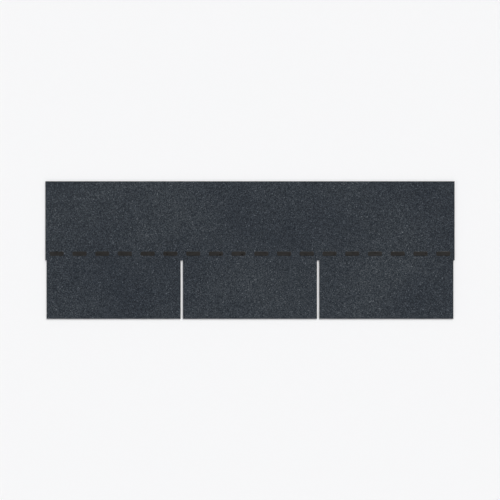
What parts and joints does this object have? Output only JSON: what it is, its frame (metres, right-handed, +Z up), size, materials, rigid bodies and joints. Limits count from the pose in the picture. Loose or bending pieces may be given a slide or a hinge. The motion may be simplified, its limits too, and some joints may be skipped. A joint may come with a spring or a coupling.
{
  "type": "three-tab asphalt shingle",
  "caption": "Flat asphalt roofing strip with rectangular tabs, narrow cutouts between them, a dark mineral granule face and a row of self-seal dabs; it is laid in overlapping courses.",
  "frame": {"origin": "middle of the strip's back, on the surface it lies on", "axes": "+X along the strip and the course, +Y from the butt edge up the roof to the top edge, +Z up out of the granule face"},
  "size_m": [1, 0.336, 0.0037],
  "materials": {
    "granule_asphalt": "matte",
    "seal_asphalt": "gloss",
    "release_film": "gloss"
  },
  "bodies": {
    "root": {"shingle_strip": "granule_asphalt", "seal_dabs": "seal_asphalt", "release_tape": "release_film"}
  },
  "joints": []
}
